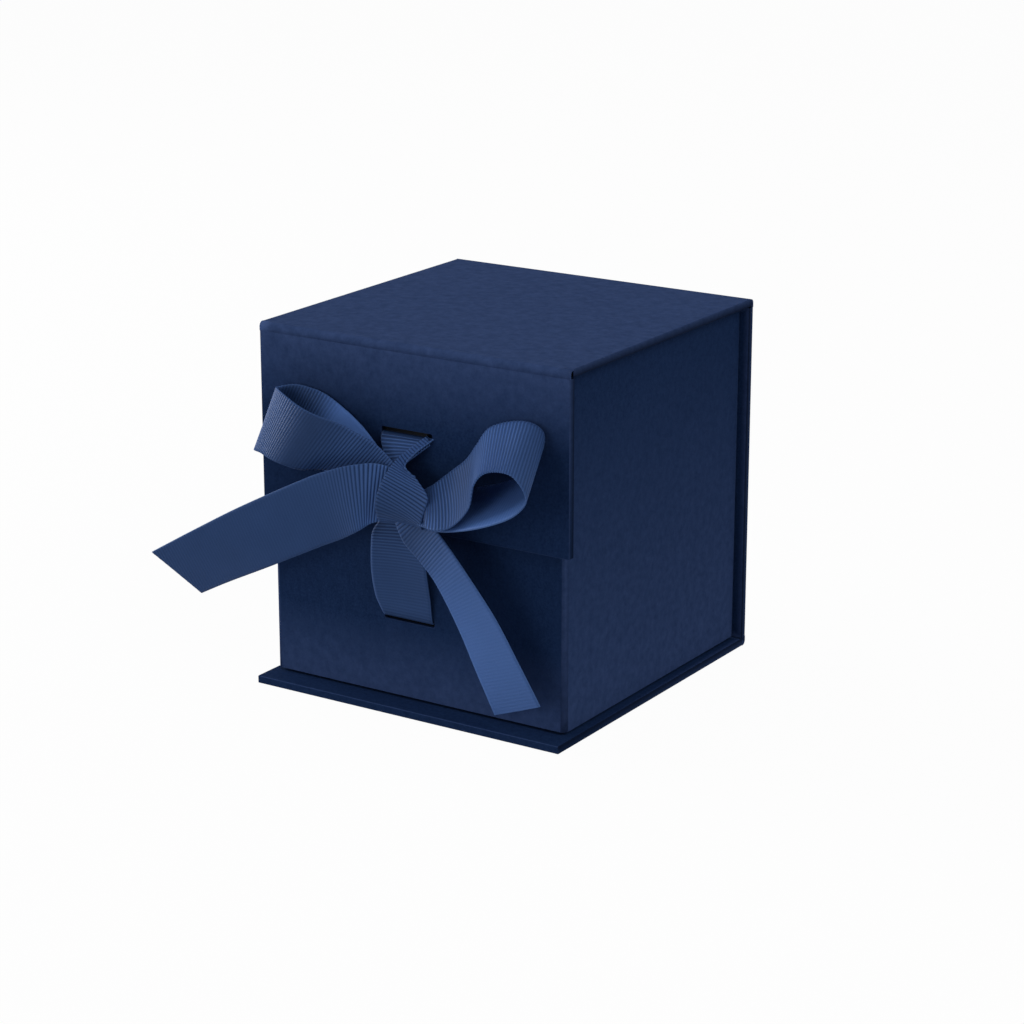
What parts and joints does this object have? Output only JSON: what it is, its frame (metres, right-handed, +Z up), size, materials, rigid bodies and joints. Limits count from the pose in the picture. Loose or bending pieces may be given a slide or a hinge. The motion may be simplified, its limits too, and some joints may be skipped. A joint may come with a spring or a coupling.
{
  "type": "magnetic gift box",
  "caption": "Rigid board gift box with a hinged lid, a magnetic front flap and a grosgrain ribbon tied in a bow across the flap.",
  "frame": {"origin": "on the underside, midway between the case's sides and midway between the flap's face and the spine's back", "axes": "+Z up, -Y towards the front with the flap and the bow, +X to the right seen from the front"},
  "size_m": [0.1348, 0.1303, 0.113],
  "materials": {
    "greyboard": "raw grey chipboard",
    "cover_paper": "matte, finely textured navy",
    "lining_paper": "matte navy",
    "ribbon": "ribbed grosgrain, slate blue",
    "magnet": "nickel plated"
  },
  "bodies": {
    "box": {"base_board": "greyboard", "base_wrap": "cover_paper", "base_spine_fold": "cover_paper", "spine_board": "greyboard", "spine_wrap": "cover_paper", "tray_floor_board": "greyboard", "tray_front_board": "greyboard", "tray_back_board": "greyboard", "tray_left_board": "greyboard", "tray_right_board": "greyboard", "tray_wrap": "cover_paper", "tray_lining": "lining_paper", "tray_floor_paper": "lining_paper", "tray_magnets": "magnet", "lower_ribbon": "ribbon"},
    "lid": {"lid_board": "greyboard", "lid_wrap": "cover_paper", "lid_liner": "lining_paper", "lid_flap_fold": "cover_paper", "spine_lid_fold": "cover_paper"},
    "flap": {"flap_board": "greyboard", "flap_wrap": "cover_paper", "flap_liner": "lining_paper", "flap_magnets": "magnet", "upper_ribbon": "ribbon", "bow_knot": "ribbon", "bow_left_loop": "ribbon", "bow_right_loop": "ribbon", "bow_left_tail": "ribbon", "bow_right_tail": "ribbon"}
  },
  "joints": [
    {"name": "lid_hinge", "type": "hinge", "parent": "box", "child": "lid", "pos_m": [0, 0.0535, 0.113], "axis": [-1, 0, 0], "range_deg": [0, 180]},
    {"name": "flap_hinge", "type": "hinge", "parent": "lid", "child": "flap", "pos_m": [0, -0.0535, 0.113], "axis": [-1, 0, 0], "range_deg": [0, 90]}
  ]
}
